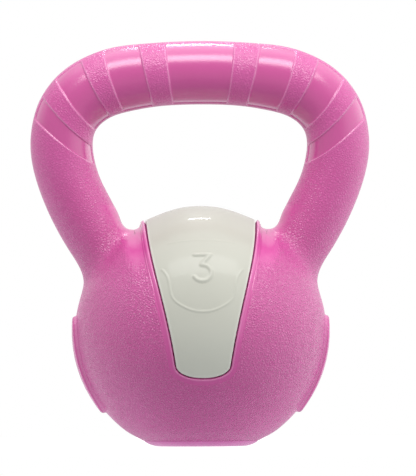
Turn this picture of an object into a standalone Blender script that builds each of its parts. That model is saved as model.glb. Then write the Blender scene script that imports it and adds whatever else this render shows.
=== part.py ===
"""A 3 kg plastic-shelled kettlebell with a loop handle, as separate solids.

Metres, +Z up. The origin is the centre of the flat foot and the front faces -Y.
The shell is one blow moulding: a ball and a loop handle, with grip recesses, two side pads,
a channel over the ball for the two weight panels, and a filling hole that the base cap closes.
"""
import math

import bmesh
import bpy
import numpy as np

MM = 0.001

# Driving dimensions, in millimetres.
HEIGHT = 205.0
BALL_RADIUS = 63.45
BALL_CENTRE_Z = 58.5
HANDLE_HALF_DEPTH = 16.0
WALL = 2.5
GAP = 0.3
BALLAST_GAP = 0.8

GRIP_RECESS = 0.5
GRIP_EDGE = 0.5
GRIP_END_ANGLE = 16.0

PANEL_THICKNESS = 2.3
CHANNEL_DEPTH = PANEL_THICKNESS + GAP
PANEL_END_ANGLE = 112.4
PANEL_ROUND_ANGLE = 5.8
PANEL_END_POWER = 2.3
PANEL_BLOCK_RISE = 6.0
RIM_WIDTH = 3.0
VALLEY_DEPTH = 2.0
FOOT_RELIEF = 1.1
FOOT_RELIEF_TOP = 8.0
FOOT_RELIEF_FULL = 3.2

PAD_RISE = 2.0
PAD_SINK = 1.5
PAD_EDGE_RISE = 0.3
PAD_SHOULDER = 0.16
PAD_FLAT_SHARE = 0.6
PAD_HALF_LENGTH = 26.3
PAD_HALF_WIDTH = 11.0
PAD_MIDDLE_ANGLE = 106.7

FOOT_RADIUS = 28.8
FOOT_FLAT_RADIUS = 20.4
FOOT_HEIGHT = 2.6
HOLE_RADIUS = 22.0
PLUG_TOP = 8.4
PLUG_WALL = 2.4
PLUG_CHAMFER = 0.8
FLANGE_ARC = 60.0
FLANGE_STEPS = 3
SHELL_FLOOR = FOOT_HEIGHT + GAP
BALLAST_FLOOR = 9.0
CUTTER_REACH = 20.0

# Cuts through the right half of the handle, from the middle of the bar down to the ball:
# outer edge (x, z), inner edge (x, z), half depth, and how far the cut bows towards the foot.
# All but the first, up to LAST_GRIP_CUT, lie on the edges of the grip recesses.
HANDLE_CUTS = [
    (0.0, HEIGHT, 0.0, 172.9, HANDLE_HALF_DEPTH, 0.0),
    (17.6, 204.5, 13.5, 172.6, HANDLE_HALF_DEPTH, 0.3),
    (30.8, 203.6, 23.5, 171.7, HANDLE_HALF_DEPTH, 0.7),
    (48.9, 200.6, 38.4, 168.9, HANDLE_HALF_DEPTH, 1.2),
    (60.4, 195.9, 45.0, 166.6, HANDLE_HALF_DEPTH, 1.6),
    (73.2, 186.4, 52.7, 159.8, HANDLE_HALF_DEPTH, 1.8),
    (79.9, 177.3, 54.2, 151.9, HANDLE_HALF_DEPTH, 2.0),
    (84.1, 166.4, 52.7, 142.5, HANDLE_HALF_DEPTH, 2.0),
    (85.7, 150.0, 49.7, 133.9, HANDLE_HALF_DEPTH, 1.5),
    (82.0, 132.0, 46.0, 126.6, HANDLE_HALF_DEPTH, 0.9),
    (74.3, 113.3, 42.2, 119.5, HANDLE_HALF_DEPTH, 0.4),
    (65.9, 98.5, 39.2, 114.7, HANDLE_HALF_DEPTH + 0.1, 0.0),
    (60.3, 88.6, 37.4, 112.4, HANDLE_HALF_DEPTH + 0.9, 0.0),
    (59.2, 84.2, 35.9, 111.8, HANDLE_HALF_DEPTH + 2.2, 0.0),
]
LAST_GRIP_CUT = 7
LEG_END_CUT = 11
# Where the ball takes over, as angles from the top of the ball.
BALL_OUTER_START = 70.2
BALL_INNER_START = 31.8
BALL_CUTS = 11

# Half-width of a weight panel at angles from the top of the ball over to the front.
PANEL_SIDE = [(0.0, 28.6), (35.0, 27.6), (54.0, 25.2), (80.5, 19.5), (103.5, 14.6), (112.4, 13.2)]


def clear_scene():
    for item in list(bpy.data.objects):
        bpy.data.objects.remove(item, do_unlink=True)


def make_material(name, colour, roughness):
    material = bpy.data.materials.new(name)
    material.use_nodes = True
    shader = material.node_tree.nodes["Principled BSDF"]
    shader.inputs["Base Color"].default_value = (*colour, 1.0)
    shader.inputs["Roughness"].default_value = roughness
    shader.inputs["Metallic"].default_value = 0.0
    return material


def add_solid(name, points, faces, material=None):
    """Make a closed mesh object from points in millimetres, facing out."""
    mesh = bpy.data.meshes.new(name)
    mesh.from_pydata([tuple(float(value) * MM for value in point) for point in points], [], faces)
    shape = bmesh.new()
    shape.from_mesh(mesh)
    bmesh.ops.recalc_face_normals(shape, faces=shape.faces)
    if shape.calc_volume(signed=True) < 0.0:
        bmesh.ops.reverse_faces(shape, faces=shape.faces)
    shape.to_mesh(mesh)
    shape.free()
    mesh.shade_smooth()
    mesh.set_sharp_from_angle(angle=math.radians(40.0))
    solid = bpy.data.objects.new(name, mesh)
    bpy.context.scene.collection.objects.link(solid)
    if material:
        mesh.materials.append(material)
    return solid


def add_boolean(target, tool, operation):
    """Cut or join target with tool, which is then only a guide."""
    tool.hide_render = True
    tool.hide_set(True)
    tool.display_type = "WIRE"
    modifier = target.modifiers.new(f"{operation.lower()} {tool.name}", "BOOLEAN")
    modifier.operation = operation
    modifier.solver = "EXACT"
    modifier.object = tool


def smoothstep(value, low, high):
    share = np.clip((value - low) / (high - low), 0.0, 1.0)
    return share * share * (3.0 - 2.0 * share)


def smooth_curve(knots, points, places):
    """Read a natural cubic spline through points at the places given."""
    knots = np.asarray(knots, float)
    points = np.asarray(points, float)
    places = np.asarray(places, float)
    steps = np.diff(knots)
    count = len(knots)
    matrix = np.eye(count)
    bends = np.zeros_like(points)
    for row in range(1, count - 1):
        matrix[row, row - 1] = steps[row - 1]
        matrix[row, row] = 2.0 * (steps[row - 1] + steps[row])
        matrix[row, row + 1] = steps[row]
        after = (points[row + 1] - points[row]) / steps[row]
        before = (points[row] - points[row - 1]) / steps[row - 1]
        bends[row] = 6.0 * (after - before)
    bends = np.linalg.solve(matrix, bends)
    index = np.clip(np.searchsorted(knots, places, side="right") - 1, 0, count - 2)
    width = steps[index][:, None]
    left = (knots[index + 1] - places)[:, None]
    right = (places - knots[index])[:, None]
    curve = (bends[index] * left ** 3 + bends[index + 1] * right ** 3) / (6.0 * width)
    curve += (points[index] / width - bends[index] * width / 6.0) * left
    curve += (points[index + 1] / width - bends[index + 1] * width / 6.0) * right
    return curve


def ball_cuts():
    """Cuts through the right half of the ball: each is a circle with its ends on the ball."""
    cuts = []
    for step in range(BALL_CUTS + 1):
        share = step / BALL_CUTS
        outer = math.radians(BALL_OUTER_START + (180.0 - BALL_OUTER_START) * share)
        inner = math.radians(BALL_INNER_START * (1.0 - share))
        cuts.append((
            BALL_RADIUS * math.sin(outer),
            BALL_CENTRE_Z + BALL_RADIUS * math.cos(outer),
            BALL_RADIUS * math.sin(inner),
            BALL_CENTRE_Z + BALL_RADIUS * math.cos(inner),
            BALL_RADIUS * math.sin((outer - inner) / 2.0),
            0.0,
        ))
    return cuts


def mirrored(cuts):
    return [(-cut[0], cut[1], -cut[2], cut[3], cut[4], cut[5]) for cut in cuts]


def mean_spacing(first, second):
    outer = math.hypot(second[0] - first[0], second[1] - first[1])
    inner = math.hypot(second[2] - first[2], second[3] - first[3])
    return (outer + inner) / 2.0


HALF_CUTS = HANDLE_CUTS + ball_cuts()
HALF_PLACES = [0.0]
for earlier, later in zip(HALF_CUTS, HALF_CUTS[1:]):
    HALF_PLACES.append(HALF_PLACES[-1] + mean_spacing(earlier, later))
OVERRUN = 4


def cuts_at(places):
    """Cuts at any place along the right half, smooth across both planes of symmetry."""
    before = mirrored(HALF_CUTS[OVERRUN:0:-1])
    after = mirrored(HALF_CUTS[-2:-2 - OVERRUN:-1])
    knots = [-place for place in HALF_PLACES[OVERRUN:0:-1]] + HALF_PLACES
    knots += [2.0 * HALF_PLACES[-1] - place for place in HALF_PLACES[-2:-2 - OVERRUN:-1]]
    return smooth_curve(knots, before + HALF_CUTS + after, places)


def loop_rings(places, angles):
    """Points around each cut of the right half: angle 0 faces the hand window, 90 the front."""
    cuts = cuts_at(places)
    outer = cuts[:, 0:2]
    inner = cuts[:, 2:4]
    middle = (outer + inner) / 2.0
    half = (inner - outer) / 2.0
    along = np.stack([half[:, 1], -half[:, 0]], axis=1) / np.linalg.norm(half, axis=1)[:, None]
    cosine = np.cos(np.radians(angles))[None, :, None]
    sine = np.sin(np.radians(angles))[None, :, None]
    flat = middle[:, None] + half[:, None] * cosine
    flat = flat - along[:, None] * cuts[:, 5][:, None, None] * sine ** 2
    depth = -cuts[:, 4][:, None] * sine[:, :, 0]
    return np.stack([flat[:, :, 0], depth, flat[:, :, 1]], axis=2)


def loop_normals(places, angles):
    """Outward unit normals of the loop, from small steps along and around it."""
    step = 0.01
    forward = loop_rings(places + step, angles) - loop_rings(places - step, angles)
    around = loop_rings(places, angles + step) - loop_rings(places, angles - step)
    normals = np.cross(forward, around)
    normals /= np.linalg.norm(normals, axis=2)[:, :, None]
    if normals[0, 0, 2] > 0.0:
        normals = -normals
    return normals


def panel_angle(points):
    """Angle about the ball's side-to-side axis, from the top towards the front or the back."""
    return np.degrees(np.arctan2(np.abs(points[..., 1]), points[..., 2] - BALL_CENTRE_Z))


def panel_half_width(angles):
    """Half-width of a weight panel, with its rounded lower end."""
    knots = [row[0] for row in PANEL_SIDE]
    widths = [[row[1]] for row in PANEL_SIDE]
    angles = np.asarray(angles, float)
    side = smooth_curve(knots, widths, angles.ravel())[:, 0].reshape(angles.shape)
    start = PANEL_END_ANGLE - PANEL_ROUND_ANGLE
    share = np.clip((angles - start) / PANEL_ROUND_ANGLE, 0.0, 1.0)
    return side * (1.0 - share ** PANEL_END_POWER) ** (1.0 / PANEL_END_POWER)


def shell_relief(points):
    """Height of the shell's soft relief: lower beside the panels' rim and near the foot."""
    angle = np.minimum(panel_angle(points), 100.0)
    beyond = np.abs(points[..., 0]) - panel_half_width(angle) - RIM_WIDTH
    near_top = 1.0 - smoothstep(panel_angle(points), 18.0, 75.0)
    on_ball = 1.0 - smoothstep(points[..., 2], 112.0, 120.0)
    drop = smoothstep(beyond, 0.0, 3.5)
    rise = 1.0 - smoothstep(beyond, 5.0, 14.0)
    valley = VALLEY_DEPTH * drop * rise * near_top * on_ball
    foot = FOOT_RELIEF * smoothstep(-points[..., 2], -FOOT_RELIEF_TOP, -FOOT_RELIEF_FULL)
    return -valley - foot


def grip_weight(places, angles):
    """One inside the grip recesses and zero outside."""
    weight = np.zeros((len(places), len(angles)))
    folded = np.abs((np.asarray(angles) + 90.0) % 180.0 - 90.0)
    on_face = folded > GRIP_END_ANGLE
    for first in range(0, LAST_GRIP_CUT, 2):
        low = HALF_PLACES[first] if first else -1.0
        inside = (places > low) & (places < HALF_PLACES[first + 1])
        weight[np.ix_(inside, on_face)] = 1.0
    return weight


def close_loop(half_rings):
    """Join the right half's rings and their mirror image into one closed loop of quads."""
    left = half_rings[-2:0:-1] * np.array([-1.0, 1.0, 1.0])
    rings = np.concatenate([half_rings, left])
    ring_count, side_count = rings.shape[:2]
    faces = []
    for ring in range(ring_count):
        following = (ring + 1) % ring_count
        for side in range(side_count):
            beside = (side + 1) % side_count
            faces.append((
                ring * side_count + side,
                ring * side_count + beside,
                following * side_count + beside,
                following * side_count + side,
            ))
    return rings.reshape(-1, 3), faces


def spread(knots, counts):
    """Split each stretch between knots into equal parts."""
    places = [knots[0]]
    for low, high, count in zip(knots, knots[1:], counts):
        places += [low + (high - low) * (step + 1) / count for step in range(count)]
    return np.array(places)


def add_loop(name, inset, material=None, with_grips=False, sides=11):
    """The ball and handle as one solid, inset evenly from the moulded surface."""
    counts = [1] * (len(HALF_PLACES) - 1)
    if with_grips:
        counts = [2] * LEG_END_CUT + [1] * (len(HALF_PLACES) - 1 - LEG_END_CUT)
    places = spread(HALF_PLACES, counts)
    ends = [0.0, GRIP_END_ANGLE, 180.0 - GRIP_END_ANGLE, 180.0]
    half_angles = spread(ends, [1, sides, 1])
    if with_grips:
        edges = np.array(HALF_PLACES[1:LAST_GRIP_CUT + 1])
        kept = places[~np.isin(places, edges)]
        places = np.sort(np.concatenate([kept, edges - GRIP_EDGE / 2.0, edges + GRIP_EDGE / 2.0]))
        edge_angle = math.degrees(GRIP_EDGE / 2.0 / HANDLE_HALF_DEPTH)
        ends = [
            0.0,
            GRIP_END_ANGLE - edge_angle,
            GRIP_END_ANGLE + edge_angle,
            180.0 - GRIP_END_ANGLE - edge_angle,
            180.0 - GRIP_END_ANGLE + edge_angle,
            180.0,
        ]
        half_angles = spread(ends, [1, 1, sides, 1, 1])
    angles = np.concatenate([half_angles, 360.0 - half_angles[-2:0:-1]])
    rings = loop_rings(places, angles)
    height = shell_relief(rings) - inset
    if with_grips:
        height = height - GRIP_RECESS * grip_weight(places, angles)
    points, faces = close_loop(rings + loop_normals(places, angles) * height[:, :, None])
    return add_solid(name, points, faces, material)


def ball_point(side, angle, radius):
    """Point of the ball at a distance to the side and an angle from the top to the front."""
    reach = math.sqrt(radius ** 2 - side ** 2)
    turn = math.radians(angle)
    return (side, -reach * math.sin(turn), BALL_CENTRE_Z + reach * math.cos(turn))


def panel_rows(margin, straight_rows=8, round_rows=6):
    """Angles and half-widths of a panel's rows, widened by a margin, from the top to its end."""
    start = PANEL_END_ANGLE - PANEL_ROUND_ANGLE
    angles = [start * row / straight_rows for row in range(straight_rows)]
    for row in range(round_rows + 1):
        share = math.sin(math.radians(86.0 * row / round_rows)) ** (2.0 / PANEL_END_POWER)
        angles.append(start + PANEL_ROUND_ANGLE * share)
    stretch = 1.0 + math.degrees(margin / BALL_RADIUS) / PANEL_END_ANGLE
    widths = panel_half_width(np.array(angles)) + margin
    return [angle * stretch for angle in angles], list(widths)


def add_curved_block(name, angles, widths, low_radius, high_radius, material=None, columns=8):
    """A solid between two radii of the ball, made of rows of points across it."""
    layers = []
    for radius in (low_radius, high_radius):
        for angle, width in zip(angles, widths):
            for column in range(columns + 1):
                share = 2.0 * column / columns - 1.0
                side = width * share * radius / BALL_RADIUS
                layers.append(ball_point(side, angle, radius))
    row_count = len(angles)
    across = columns + 1
    layer = row_count * across
    faces = []
    for row in range(row_count - 1):
        for column in range(columns):
            corner = row * across + column
            quad = (corner, corner + 1, corner + across + 1, corner + across)
            faces.append(quad)
            faces.append(tuple(index + layer for index in reversed(quad)))
    rim = [column for column in range(across)]
    rim += [row * across + columns for row in range(1, row_count)]
    rim += [(row_count - 1) * across + column for column in range(columns - 1, -1, -1)]
    rim += [row * across for row in range(row_count - 2, 0, -1)]
    for first, second in zip(rim, rim[1:] + rim[:1]):
        faces.append((first, second, second + layer, first + layer))
    return add_solid(name, layers, faces, material)


def add_channel_block(name, margin, depth):
    """The space over the ball that both weight panels take, widened and deepened."""
    angles, widths = panel_rows(margin)
    both_angles = [-angle for angle in reversed(angles[1:])] + angles
    both_widths = list(reversed(widths[1:])) + widths
    block_top = BALL_RADIUS + PANEL_BLOCK_RISE
    return add_curved_block(name, both_angles, both_widths, BALL_RADIUS - depth, block_top)


def add_panel(name, facing, material):
    """One weight panel: facing is 1 for the front and -1 for the rear."""
    angles, widths = panel_rows(0.0)
    seam_angle = math.degrees(GAP / 2.0 / BALL_RADIUS)
    angles[0] = seam_angle
    turned = [facing * angle for angle in angles]
    low_radius = BALL_RADIUS - PANEL_THICKNESS
    return add_curved_block(name, turned, widths, low_radius, BALL_RADIUS, material)


def add_slab(name, low, high):
    """A wide flat block between two heights, used to cut level floors."""
    reach = 2.0 * BALL_RADIUS
    corners = [(x, y, z) for z in (low, high) for y in (-reach, reach) for x in (-reach, reach)]
    faces = [(0, 1, 3, 2), (4, 5, 7, 6), (0, 1, 5, 4), (1, 3, 7, 5), (3, 2, 6, 7), (2, 0, 4, 6)]
    return add_solid(name, corners, faces)


def add_turned(name, profile, material=None, segments=40):
    """Turn a profile of (radius, height) that starts and ends on the axis."""
    shape = bmesh.new()
    previous = None
    for radius, height in profile:
        point = shape.verts.new((radius * MM, 0.0, height * MM))
        if previous:
            shape.edges.new((previous, point))
        previous = point
    bmesh.ops.spin(
        shape,
        geom=shape.verts[:] + shape.edges[:],
        axis=(0.0, 0.0, 1.0),
        cent=(0.0, 0.0, 0.0),
        angle=2.0 * math.pi,
        steps=segments,
        use_merge=True,
    )
    bmesh.ops.remove_doubles(shape, verts=shape.verts, dist=0.00001)
    bmesh.ops.recalc_face_normals(shape, faces=shape.faces)
    mesh = bpy.data.meshes.new(name)
    shape.to_mesh(mesh)
    shape.free()
    mesh.shade_smooth()
    mesh.set_sharp_from_angle(angle=math.radians(40.0))
    turned = bpy.data.objects.new(name, mesh)
    bpy.context.scene.collection.objects.link(turned)
    if material:
        mesh.materials.append(material)
    return turned


def add_side_pad(name, facing, rings=5, sides=24):
    """A low rounded pad on one side of the ball, sunk into the wall: facing is 1 or -1."""
    points = []
    heights = [(1.0, -PAD_SINK), (1.0, PAD_EDGE_RISE)]
    for ring in range(1, rings):
        turn = math.radians(90.0 * ring / rings)
        share = 1.0 - PAD_SHOULDER * (1.0 - math.cos(turn))
        heights.append((share, PAD_EDGE_RISE + (PAD_RISE - PAD_EDGE_RISE) * math.sin(turn)))
    heights.append((PAD_FLAT_SHARE, PAD_RISE))

    def pad_point(share, rise, turn):
        along = PAD_HALF_LENGTH * share * math.cos(turn)
        across = PAD_HALF_WIDTH * share * math.sin(turn)
        angle = math.radians(PAD_MIDDLE_ANGLE) + along / BALL_RADIUS
        radius = BALL_RADIUS + rise
        reach = math.sqrt(radius ** 2 - across ** 2)
        return (facing * reach * math.sin(angle), across, BALL_CENTRE_Z + reach * math.cos(angle))

    for share, rise in heights:
        points += [pad_point(share, rise, 2.0 * math.pi * side / sides) for side in range(sides)]
    top_centre = len(points)
    points.append(pad_point(0.0, PAD_RISE, 0.0))
    points.append(pad_point(0.0, -PAD_SINK, 0.0))
    faces = []
    for ring in range(len(heights) - 1):
        first = ring * sides
        second = first + sides
        for side in range(sides):
            beside = (side + 1) % sides
            faces.append((first + side, first + beside, second + beside, second + side))
    last = (len(heights) - 1) * sides
    for side in range(sides):
        beside = (side + 1) % sides
        faces.append((last + side, last + beside, top_centre))
        faces.append((beside, side, top_centre + 1))
    return add_solid(name, points, faces)


def make_body_shell(material):
    """The hollow moulding, built as the full form less its cavity, channel and hole."""
    cavity = add_loop("cavity_guide", WALL)
    channel_skin = add_channel_block("channel_skin_guide", GAP + WALL, CHANNEL_DEPTH + WALL)
    add_boolean(cavity, channel_skin, "DIFFERENCE")
    add_boolean(cavity, add_slab("floor_skin_guide", -CUTTER_REACH, SHELL_FLOOR + WALL), "DIFFERENCE")

    shell = add_loop("body_shell", 0.0, material, with_grips=True)
    add_boolean(shell, add_side_pad("right_pad_guide", 1.0), "UNION")
    add_boolean(shell, add_side_pad("left_pad_guide", -1.0), "UNION")
    add_boolean(shell, add_channel_block("channel_guide", GAP, CHANNEL_DEPTH), "DIFFERENCE")
    add_boolean(shell, add_slab("floor_guide", -CUTTER_REACH, SHELL_FLOOR), "DIFFERENCE")
    add_boolean(shell, cavity, "DIFFERENCE")
    hole_profile = [
        (0.0, -CUTTER_REACH),
        (HOLE_RADIUS, -CUTTER_REACH),
        (HOLE_RADIUS, BALLAST_FLOOR + GAP),
        (0.0, BALLAST_FLOOR + GAP),
    ]
    add_boolean(shell, add_turned("hole_guide", hole_profile), "DIFFERENCE")


def make_ballast_core(material):
    """The cast filling: the cavity's shape less a small gap, with the level it was poured to."""
    core = add_loop("ballast_core", WALL + BALLAST_GAP, material)
    margin = GAP + WALL + BALLAST_GAP
    depth = CHANNEL_DEPTH + WALL + BALLAST_GAP
    skin = add_channel_block("ballast_skin_guide", margin, depth)
    add_boolean(core, skin, "DIFFERENCE")
    add_boolean(core, add_slab("fill_level_guide", -CUTTER_REACH, BALLAST_FLOOR), "DIFFERENCE")


def make_base_cap(material):
    """The foot and filling plug: a rounded flange with a hollow spigot pressed into the hole."""
    edge_width = FOOT_RADIUS - FOOT_FLAT_RADIUS
    profile = [(0.0, 0.0), (FOOT_FLAT_RADIUS, 0.0)]
    full_turn = math.radians(FLANGE_ARC)
    for step in range(1, FLANGE_STEPS + 1):
        turn = full_turn * step / FLANGE_STEPS
        share = math.sin(turn) / math.sin(full_turn)
        rise = (1.0 - math.cos(turn)) / (1.0 - math.cos(full_turn))
        profile.append((FOOT_FLAT_RADIUS + edge_width * share, FOOT_HEIGHT * rise))
    plug_radius = HOLE_RADIUS - GAP
    profile += [
        (plug_radius, FOOT_HEIGHT),
        (plug_radius, PLUG_TOP - PLUG_CHAMFER),
        (plug_radius - PLUG_CHAMFER, PLUG_TOP),
        (plug_radius - PLUG_WALL, PLUG_TOP),
        (plug_radius - PLUG_WALL, FOOT_HEIGHT),
        (0.0, FOOT_HEIGHT),
    ]
    add_turned("base_cap", profile, material)


def main():
    clear_scene()
    pink = make_material("pink moulded plastic", (0.55, 0.10, 0.33), 0.38)
    grey = make_material("light grey moulded plastic", (0.68, 0.68, 0.62), 0.32)
    cap_pink = make_material("pink cap plastic", (0.50, 0.10, 0.30), 0.45)
    cement = make_material("cured cement and iron sand", (0.24, 0.23, 0.22), 0.9)
    make_body_shell(pink)
    make_ballast_core(cement)
    add_panel("front_weight_panel", 1.0, grey)
    add_panel("rear_weight_panel", -1.0, grey)
    make_base_cap(cap_pink)


main()
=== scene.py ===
"""The looks of a plastic-shelled kettlebell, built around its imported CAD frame.

Lengths are in millimetres until a mesh is made, +Z up, and the front faces -Y. The handle and the
ball repeat the CAD's rails at a finer pitch, so the fine shell lies on the CAD shell.
"""
import math

import bmesh
import bpy
import numpy as np
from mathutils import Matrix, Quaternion, Vector


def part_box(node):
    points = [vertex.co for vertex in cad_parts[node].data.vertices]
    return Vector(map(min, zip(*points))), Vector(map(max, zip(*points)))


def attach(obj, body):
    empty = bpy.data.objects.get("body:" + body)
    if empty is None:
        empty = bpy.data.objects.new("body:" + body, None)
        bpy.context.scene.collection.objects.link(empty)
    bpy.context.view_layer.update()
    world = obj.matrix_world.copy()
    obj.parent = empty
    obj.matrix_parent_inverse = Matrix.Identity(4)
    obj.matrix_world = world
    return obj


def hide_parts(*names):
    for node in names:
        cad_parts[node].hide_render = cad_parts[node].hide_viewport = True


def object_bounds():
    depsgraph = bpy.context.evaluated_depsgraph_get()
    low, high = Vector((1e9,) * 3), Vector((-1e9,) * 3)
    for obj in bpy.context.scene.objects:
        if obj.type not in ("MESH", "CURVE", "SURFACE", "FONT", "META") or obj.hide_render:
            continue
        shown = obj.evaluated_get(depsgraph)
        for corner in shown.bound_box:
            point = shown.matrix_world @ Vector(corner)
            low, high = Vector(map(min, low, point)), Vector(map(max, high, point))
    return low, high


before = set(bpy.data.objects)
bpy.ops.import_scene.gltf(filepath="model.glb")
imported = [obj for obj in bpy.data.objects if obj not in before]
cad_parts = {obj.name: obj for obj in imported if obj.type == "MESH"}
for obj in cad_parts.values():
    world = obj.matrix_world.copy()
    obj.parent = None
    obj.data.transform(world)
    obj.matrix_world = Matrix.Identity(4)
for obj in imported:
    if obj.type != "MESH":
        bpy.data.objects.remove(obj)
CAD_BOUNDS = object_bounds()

MM = 0.001

# Sizes read from the frame.
HEIGHT = CAD_BOUNDS[1].z / MM
BALL_RADIUS = CAD_BOUNDS[1].y / MM
CAP_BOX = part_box("base_cap")
FOOT_RADIUS = CAP_BOX[1].x / MM
PLUG_TOP = CAP_BOX[1].z / MM

# Sizes that the CAD model also has.
BALL_CENTRE_Z = 58.5
BALL_CENTRE = np.array([0.0, 0.0, BALL_CENTRE_Z])
HANDLE_HALF_DEPTH = 16.0
WALL = 2.5
GAP = 0.3
GRIP_RECESS = 0.5
GRIP_END_ANGLE = 16.0
PANEL_THICKNESS = 2.3
PANEL_END_ANGLE = 112.4
PANEL_ROUND_ANGLE = 5.8
PANEL_END_POWER = 2.3
PANEL_ROUND_START = PANEL_END_ANGLE - PANEL_ROUND_ANGLE
PAD_RISE = 2.0
PAD_SINK = 1.5
PAD_HALF_LENGTH = 26.3
PAD_MIDDLE_ANGLE = 106.7
FOOT_RELIEF_TOP = 8.0
FOOT_RELIEF_FULL = 3.2
FOOT_FLAT_RADIUS = 20.4
FOOT_HEIGHT = 2.6
HOLE_RADIUS = 22.0
PLUG_WALL = 2.4
PLUG_CHAMFER = 0.8
SHELL_FLOOR = FOOT_HEIGHT + GAP

# Sizes that part from the CAD's: a deeper channel, slimmer pads, a fuller lowest edge on the
# shell, and only a hairline between that edge and the cap's flange.
CHANNEL_DEPTH = 3.0
PAD_HALF_WIDTH = 10.6
FOOT_RELIEF = 0.5
HAIRLINE = 0.04
FLANGE_TOP = SHELL_FLOOR - HAIRLINE

# Cuts through the right half of the handle, from the middle of the bar down to the ball:
# outer edge (x, z), inner edge (x, z), half depth, and how far the cut bows towards the foot.
HANDLE_CUTS = [
    (0.0, HEIGHT, 0.0, 172.9, HANDLE_HALF_DEPTH, 0.0),
    (17.6, 204.5, 13.5, 172.6, HANDLE_HALF_DEPTH, 0.3),
    (30.8, 203.6, 23.5, 171.7, HANDLE_HALF_DEPTH, 0.7),
    (48.9, 200.6, 38.4, 168.9, HANDLE_HALF_DEPTH, 1.2),
    (60.4, 195.9, 45.0, 166.6, HANDLE_HALF_DEPTH, 1.6),
    (73.2, 186.4, 52.7, 159.8, HANDLE_HALF_DEPTH, 1.8),
    (79.9, 177.3, 54.2, 151.9, HANDLE_HALF_DEPTH, 2.0),
    (84.1, 166.4, 52.7, 142.5, HANDLE_HALF_DEPTH, 2.0),
    (85.7, 150.0, 49.7, 133.9, HANDLE_HALF_DEPTH, 1.5),
    (82.0, 132.0, 46.0, 126.6, HANDLE_HALF_DEPTH, 0.9),
    (74.3, 113.3, 42.2, 119.5, HANDLE_HALF_DEPTH, 0.4),
    (65.9, 98.5, 39.2, 114.7, HANDLE_HALF_DEPTH + 0.1, 0.0),
    (60.3, 88.6, 37.4, 112.4, HANDLE_HALF_DEPTH + 0.9, 0.0),
    (59.2, 84.2, 35.9, 111.8, HANDLE_HALF_DEPTH + 2.2, 0.0),
]

# Cuts where the last grip recess ends, where the handle's grid starts to even out, and where the
# ball's finer grid begins.
LAST_GRIP_CUT = 7
LEG_CUT = 8
JOIN_CUT = 10

# The ball's own cuts run on to its lowest point from these angles off its top. The smooth curve
# through the cuts is given some more of them beyond each end.
BALL_OUTER_START = 70.2
BALL_INNER_START = 31.8
BALL_CUTS = 11
OVERRUN = 4

# Half-width of a weight panel at angles from the top of the ball over to the front.
PANEL_SIDE = [(0.0, 28.6), (35.0, 27.6), (54.0, 25.2), (80.5, 19.5), (103.5, 14.6), (112.4, 13.2)]

# Pitch of the fine meshes.
HANDLE_PITCH = 1.5
BALL_PITCH = 1.25
ANGLE_PITCH = 4.9
EDGE_LINES = (-1.5, -0.9, -0.5, -0.25, 0.0, 0.25, 0.5, 0.9, 1.5)
BALL_LINES_PER_HANDLE_LINE = 3
OUTLINE_POINTS = 1300
POINTS_AT_A_TIME = 4000

# A fade is a pair: where it starts and where it ends. These run up the shell: where the ball's
# relief gives way to the handle, and where the grain gives way to the polished top of the ball.
# Above the last height there is only handle.
BALL_RELIEF_FADE = (112.0, 120.0)
POLISHED_TOP_FADE = (88.0, 98.0)
ABOVE_BALL = 122.0

# The recesses' rounded walls, and the pale line along their upper edge: partly wear, partly a painted
# highlight of the edge.
RECESS_WALL = 0.8
RECESS_CORNER = 1.6
WEAR_AND_HIGHLIGHT_LINE = 0.35
WEAR_AND_HIGHLIGHT_LINE_FADE = (0.1, 0.5)

# The crown is flatter than the ball, most of all at its sides.
CROWN_MIDDLE_DROP = 0.3
CROWN_SIDE_DROP = 1.0
CROWN_SIDES = (6.0, 24.0)
CROWN_FADE = (20.0, 65.0)
CROWN_RIM_RISE = 0.35
CROWN_RIM_FADE = (4.0, 12.0)

# The rim beside the panels, measured outwards from their outline, and the valley behind it.
RIM_START = 1.5
RIM_END = 4.0
VALLEY_DEPTH = 2.0
VALLEY_POWER = 1.3
VALLEY_RISE = (RIM_END + 1.0, RIM_END + 10.0)
VALLEY_FADE = (18.0, 88.0)
POLISHED_RIM_FADE = (9.0, 16.0)

# The collar is a bead with the rim, a groove, the lip and the channel's wall on it. The groove
# runs out low on the ball. The skin dips under the collar and drops away inside it.
LIP_RADIUS = 0.4
LIP_RISE = 0.12
# Where the lip's rounded top is painted paler: a painted highlight.
LIP_HIGHLIGHT_MIDDLE = 0.7
LIP_HIGHLIGHT_FADE = (0.2, 0.7)
COLLAR_WALL = 0.42
COLLAR_END = 7.2
COLLAR_RISE = 0.02
COLLAR_SINK = 0.2
COLLAR_GRAIN_START = (2.9, 3.9)
COLLAR_STATIONS = 100
GROOVE_MIDDLE = 2.6
GROOVE_HALF_WIDTH = 0.5
GROOVE_DEPTH = 0.28
GROOVE_RUN_OUT = (45.0, 85.0)
SKIN_DIP = 0.3
SKIN_DIP_FADE = (4.6, 6.0)
CHANNEL_WALL_FADE = (0.0, 0.8)

# The side pads' edge: the rise at which it starts to turn over, and shares of their outline.
PAD_WALL_TOP = 0.7
PAD_ROUND_START = 0.985
PAD_ROUND_SHARE = 0.07
# Beyond this share the pad's foot is painted paler: a painted highlight over the shaded crease at the
# ball.
PAD_HIGHLIGHT_SHARE = 0.98

# The panels' edges, and the raised lines on the front one. A bead is a half-width and a height.
PANEL_EDGE_RADIUS = 0.7
PANEL_INSET = 0.30
# How far in from its edge a panel is painted paler: a painted highlight on the rounded edge.
PANEL_EDGE_HIGHLIGHT_FADE = (0.2, 1.6)
NUMERAL_ANGLE = 59.5
NUMERAL_BEAD = (1.25, 0.55)
BORDER_BEAD = (0.6, 0.3)
LEDGE_ANGLE = 43.5
LEDGE_HALF_WIDTH = 17.0
LEDGE_BEAD = (0.7, 0.12)


# ---------------------------------------------------------------- curves


def smoothstep(value, low, high):
    """Rise smoothly from zero at low to one at high."""
    share = np.clip((value - low) / (high - low), 0.0, 1.0)
    return share * share * (3.0 - 2.0 * share)


def fade_out(value, fade):
    """One up to the fade's start, and zero past its end."""
    return 1.0 - smoothstep(value, *fade)


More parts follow.
